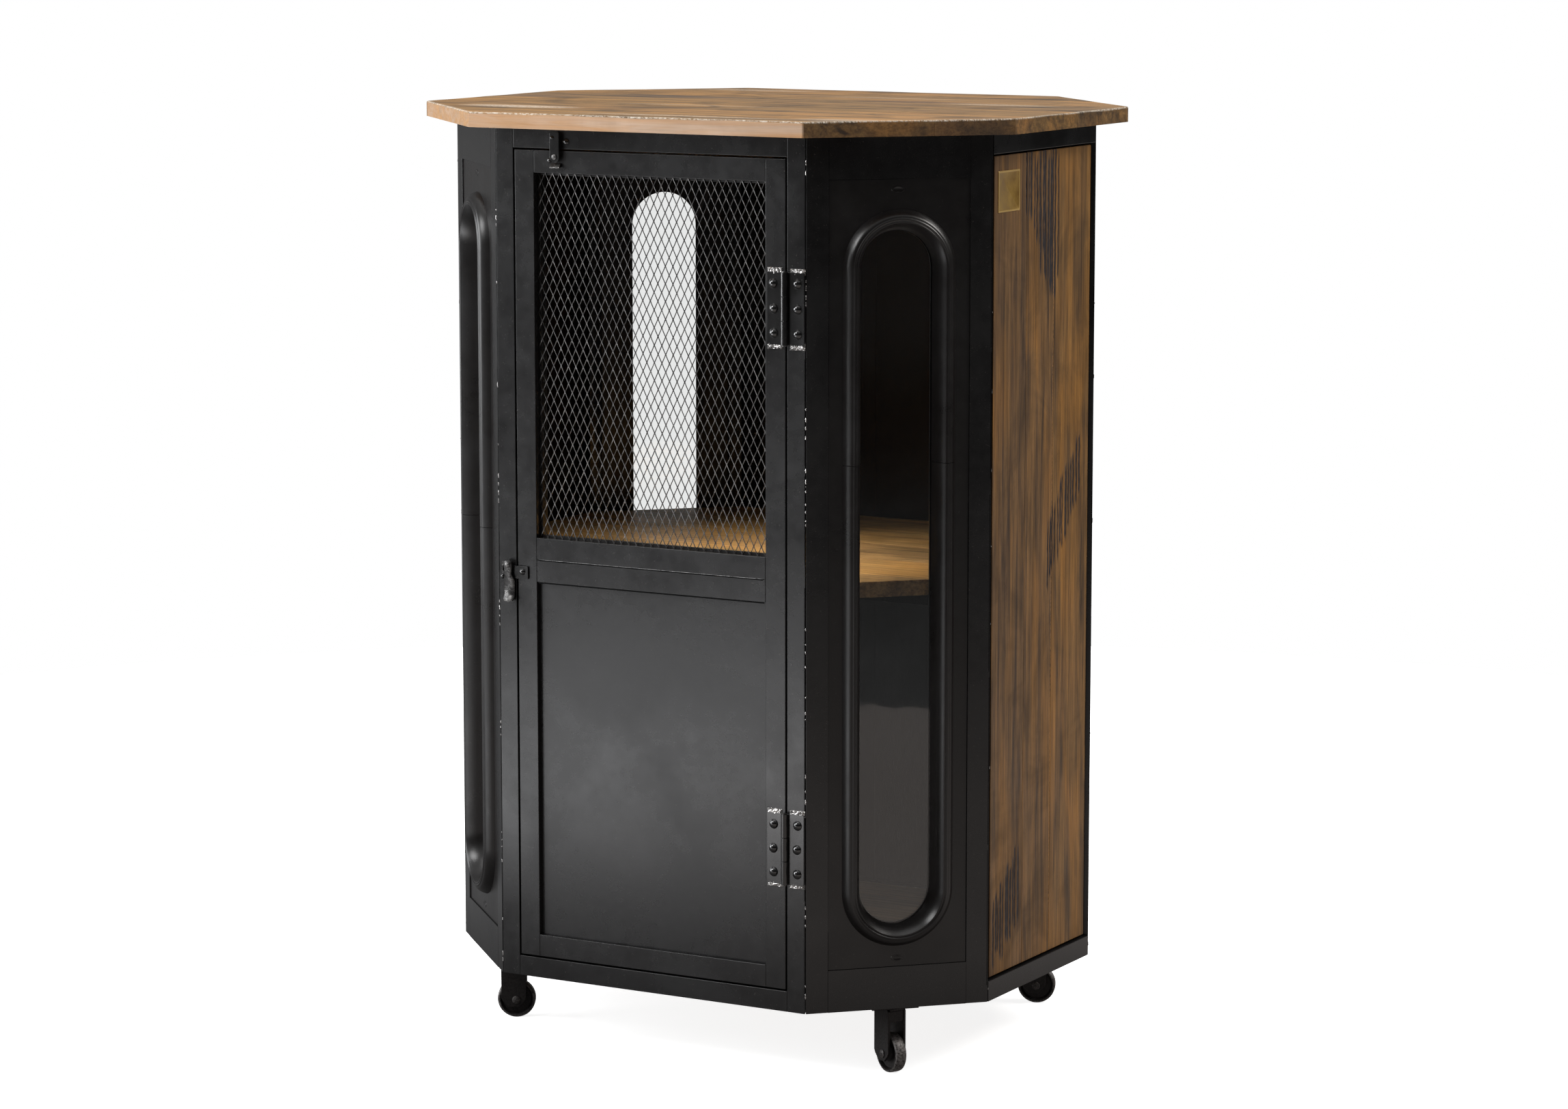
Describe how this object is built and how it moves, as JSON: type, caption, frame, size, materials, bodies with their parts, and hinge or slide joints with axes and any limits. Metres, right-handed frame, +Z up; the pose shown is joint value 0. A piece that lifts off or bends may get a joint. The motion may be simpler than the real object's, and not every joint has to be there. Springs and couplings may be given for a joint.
{
  "type": "sideboard buffet",
  "caption": "Octagonal steel-framed storage cabinet on casters: wood top, sides and shelf, oval corner windows, and a hinged door with mesh above and sheet below.",
  "frame": {"origin": "centre of the footprint at floor level, between the four casters", "axes": "+Z up, -Y out of the door's face, +X to the right as seen from the door's side"},
  "size_m": [0.788, 0.644, 1.1],
  "materials": {
    "frame_steel": "blackened and lacquered",
    "door_steel": "blackened and lacquered",
    "trim_steel": "blackened and lacquered",
    "mesh_steel": "dull",
    "hinge_steel": "blackened and lacquered",
    "bright_steel": "worn bright",
    "caster_iron": "rough cast, bright tread",
    "brass_plate": "dull",
    "top_wood": "worn, waxed",
    "side_wood": "old, gouged",
    "shelf_wood": "old, waxed",
    "glass": "clear"
  },
  "bodies": {
    "cabinet": {"top_slab": "top_wood", "right_wood_panel": "side_wood", "left_wood_panel": "side_wood", "back_wood_panel": "side_wood", "shelf": "shelf_wood", "floor_board": "shelf_wood", "front_posts": "frame_steel", "front_rails": "frame_steel", "back_rails": "frame_steel", "side_rails": "frame_steel", "corner_stiles": "frame_steel", "corner_ring_rails": "frame_steel", "corner_inner_rails": "frame_steel", "panel_battens": "frame_steel", "shelf_bearers": "frame_steel", "floor_bearers": "frame_steel", "front_right_corner_panel": "trim_steel", "back_right_corner_panel": "trim_steel", "back_left_corner_panel": "trim_steel", "front_left_corner_panel": "trim_steel", "front_right_moulding": "trim_steel", "back_right_moulding": "trim_steel", "back_left_moulding": "trim_steel", "front_left_moulding": "trim_steel", "front_right_glass": "glass", "back_right_glass": "glass", "back_left_glass": "glass", "front_left_glass": "glass", "glass_retainers": "trim_steel", "blank_plate": "brass_plate", "top_screws": "bright_steel", "frame_hinge_leaves": "hinge_steel", "hinge_pins": "bright_steel", "frame_rivets": "bright_steel", "side_latch_keeper": "bright_steel", "caster_plates": "caster_iron"},
    "door": {"door_stiles": "door_steel", "door_rails": "door_steel", "door_mesh": "mesh_steel", "mesh_retainers": "trim_steel", "door_sheet": "door_steel", "door_hinge_leaves": "hinge_steel", "door_rivets": "bright_steel", "side_latch_strap": "hinge_steel", "top_latch_hook": "bright_steel", "latch_pivots": "bright_steel"},
    "side_latch": {"side_latch_lever": "bright_steel"},
    "top_latch": {"top_latch_arm": "hinge_steel"},
    "front_right_swivel": {"front_right_fork": "caster_iron", "front_right_axle": "bright_steel"},
    "front_right_roller": {"front_right_wheel": "caster_iron"},
    "back_right_swivel": {"back_right_fork": "caster_iron", "back_right_axle": "bright_steel"},
    "back_right_roller": {"back_right_wheel": "caster_iron"},
    "back_left_swivel": {"back_left_fork": "caster_iron", "back_left_axle": "bright_steel"},
    "back_left_roller": {"back_left_wheel": "caster_iron"},
    "front_left_swivel": {"front_left_fork": "caster_iron", "front_left_axle": "bright_steel"},
    "front_left_roller": {"front_left_wheel": "caster_iron"}
  },
  "joints": [
    {"name": "door_hinge", "type": "hinge", "parent": "cabinet", "child": "door", "pos_m": [0.18, -0.2924, 0.582], "axis": [0, 0, 1], "range_deg": [0, 120]},
    {"name": "side_latch_turn", "type": "hinge", "parent": "door", "child": "side_latch", "pos_m": [-0.1895, -0.2935, 0.572], "axis": [0, 1, 0], "range_deg": [0, 90]},
    {"name": "top_latch_turn", "type": "hinge", "parent": "door", "child": "top_latch", "pos_m": [-0.1215, -0.2926, 1.049], "axis": [0, -1, 0], "range_deg": [0, 80]},
    {"name": "front_right_swivel_turn", "type": "hinge", "parent": "cabinet", "child": "front_right_swivel", "pos_m": [0.25846, -0.18646, 0.078], "axis": [0, 0, 1], "continuous": true},
    {"name": "front_right_wheel_spin", "type": "hinge", "parent": "front_right_swivel", "child": "front_right_roller", "pos_m": [0.26371, -0.18937, 0.023], "axis": [0.4848, 0.8746, 0], "continuous": true},
    {"name": "back_right_swivel_turn", "type": "hinge", "parent": "cabinet", "child": "back_right_swivel", "pos_m": [0.25846, 0.18646, 0.078], "axis": [0, 0, 1], "continuous": true},
    {"name": "back_right_wheel_spin", "type": "hinge", "parent": "back_right_swivel", "child": "back_right_roller", "pos_m": [0.26402, 0.18871, 0.023], "axis": [-0.3746, 0.9272, 0], "continuous": true},
    {"name": "back_left_swivel_turn", "type": "hinge", "parent": "cabinet", "child": "back_left_swivel", "pos_m": [-0.25846, 0.18646, 0.078], "axis": [0, 0, 1], "continuous": true},
    {"name": "back_left_wheel_spin", "type": "hinge", "parent": "back_left_swivel", "child": "back_left_roller", "pos_m": [-0.25641, 0.1921, 0.023], "axis": [-0.9397, 0.342, 0], "continuous": true},
    {"name": "front_left_swivel_turn", "type": "hinge", "parent": "cabinet", "child": "front_left_swivel", "pos_m": [-0.25846, -0.18646, 0.078], "axis": [0, 0, 1], "continuous": true},
    {"name": "front_left_wheel_spin", "type": "hinge", "parent": "front_left_swivel", "child": "front_left_roller", "pos_m": [-0.25321, -0.18355, 0.023], "axis": [-0.4848, 0.8746, 0], "continuous": true}
  ]
}
